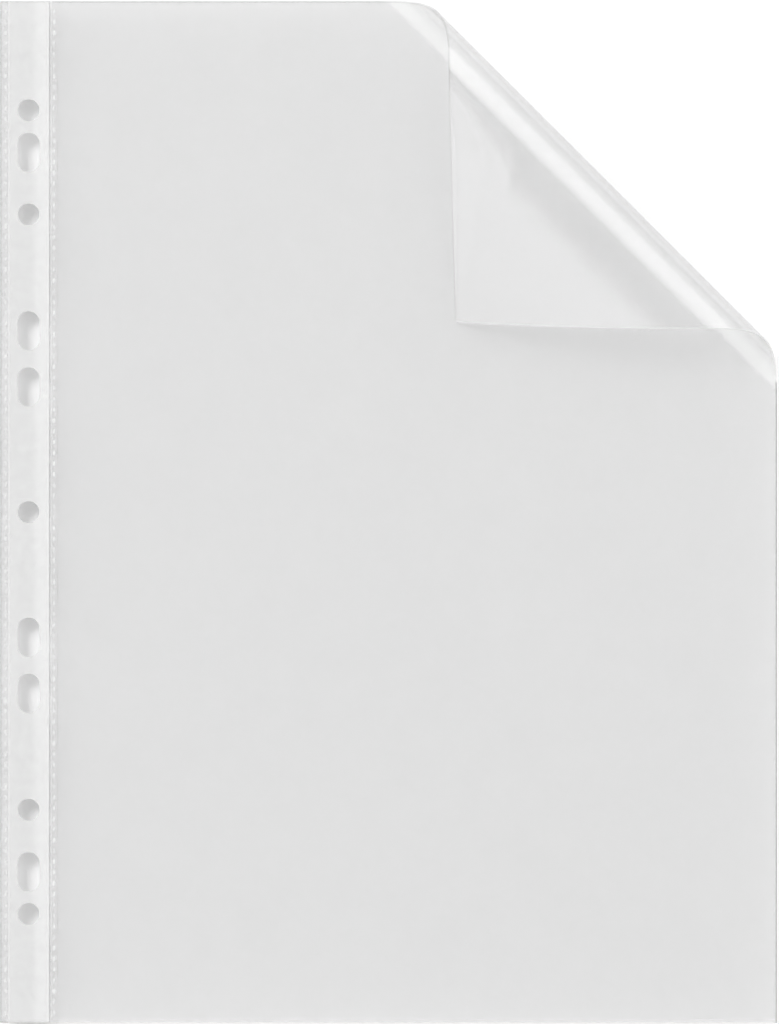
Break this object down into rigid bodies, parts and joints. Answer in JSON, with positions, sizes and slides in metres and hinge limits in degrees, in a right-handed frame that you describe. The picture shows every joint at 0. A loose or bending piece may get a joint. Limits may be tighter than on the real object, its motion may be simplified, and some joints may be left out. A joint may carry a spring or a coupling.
{
  "type": "sheet protector",
  "caption": "Clear A4 sheet protector: a film pocket open at the top, with a tape-stiffened, multi-punched binding edge, ladder-welded seams and a corner that rolls over.",
  "frame": {"origin": "middle of the flat sheet, on the surface that its back film lies on", "axes": "+X from the punched edge to the folded side, +Y from the sealed bottom to the open mouth, +Z to the reader"},
  "size_m": [0.232, 0.305, 0.0182],
  "materials": {
    "clear_film": "clear polypropylene film with a fine embossed grain",
    "edge_tape": "white translucent tape",
    "weld_bead": "clear film fused by a hot bar"
  },
  "bodies": {
    "binding_edge": {"margin_back": "clear_film", "reinforcing_tape": "edge_tape", "outer_weld": "weld_bead", "margin_front": "clear_film"},
    "pocket": {"back_panel": "clear_film", "inner_weld": "weld_bead", "bottom_weld": "weld_bead", "side_fold": "clear_film", "front_panel": "clear_film"},
    "bend_1": {"back_bend_1": "clear_film", "fold_bend_1": "clear_film", "front_bend_1": "clear_film"},
    "bend_2": {"back_bend_2": "clear_film", "fold_bend_2": "clear_film", "front_bend_2": "clear_film"},
    "bend_3": {"back_bend_3": "clear_film", "fold_bend_3": "clear_film", "front_bend_3": "clear_film"},
    "bend_4": {"back_bend_4": "clear_film", "fold_bend_4": "clear_film", "front_bend_4": "clear_film"},
    "bend_5": {"back_bend_5": "clear_film", "fold_bend_5": "clear_film", "front_bend_5": "clear_film"},
    "bend_6": {"back_bend_6": "clear_film", "fold_bend_6": "clear_film", "front_bend_6": "clear_film"},
    "flap": {"back_flap": "clear_film", "flap_fold": "clear_film", "front_flap": "clear_film"}
  },
  "joints": [
    {"name": "edge_flex", "type": "hinge", "parent": "binding_edge", "child": "pocket", "pos_m": [-0.10085, 0, 0.00028], "axis": [0, -1, 0], "range_deg": [-90, 90]},
    {"name": "corner_roll_1", "type": "hinge", "parent": "pocket", "child": "bend_1", "pos_m": [0.05717, 0.09367, 0], "axis": [-0.7071, 0.7071, 0], "range_deg": [0, 16.54]},
    {"name": "corner_roll_2", "type": "hinge", "parent": "bend_1", "child": "bend_2", "pos_m": [0.06068, 0.09718, 0.00147], "axis": [-0.7071, 0.7071, 0], "range_deg": [0, 33.07]},
    {"name": "corner_roll_3", "type": "hinge", "parent": "bend_2", "child": "bend_3", "pos_m": [0.06305, 0.09955, 0.00542], "axis": [-0.7071, 0.7071, 0], "range_deg": [0, 33.07]},
    {"name": "corner_roll_4", "type": "hinge", "parent": "bend_3", "child": "bend_4", "pos_m": [0.06352, 0.10002, 0.01056], "axis": [-0.7071, 0.7071, 0], "range_deg": [0, 33.07]},
    {"name": "corner_roll_5", "type": "hinge", "parent": "bend_4", "child": "bend_5", "pos_m": [0.06193, 0.09843, 0.01522], "axis": [-0.7071, 0.7071, 0], "range_deg": [0, 33.07]},
    {"name": "corner_roll_6", "type": "hinge", "parent": "bend_5", "child": "bend_6", "pos_m": [0.0588, 0.0953, 0.0179], "axis": [-0.7071, 0.7071, 0], "range_deg": [0, 33.07]},
    {"name": "corner_roll_7", "type": "hinge", "parent": "bend_6", "child": "flap", "pos_m": [0.05513, 0.09163, 0.01773], "axis": [-0.7071, 0.7071, 0], "range_deg": [0, 16.54]}
  ],
  "couplings": [
    {"joint": "corner_roll_2", "follows": "corner_roll_1", "ratio": 2},
    {"joint": "corner_roll_3", "follows": "corner_roll_1", "ratio": 2},
    {"joint": "corner_roll_4", "follows": "corner_roll_1", "ratio": 2},
    {"joint": "corner_roll_5", "follows": "corner_roll_1", "ratio": 2},
    {"joint": "corner_roll_6", "follows": "corner_roll_1", "ratio": 2},
    {"joint": "corner_roll_7", "follows": "corner_roll_1", "ratio": 1}
  ]
}
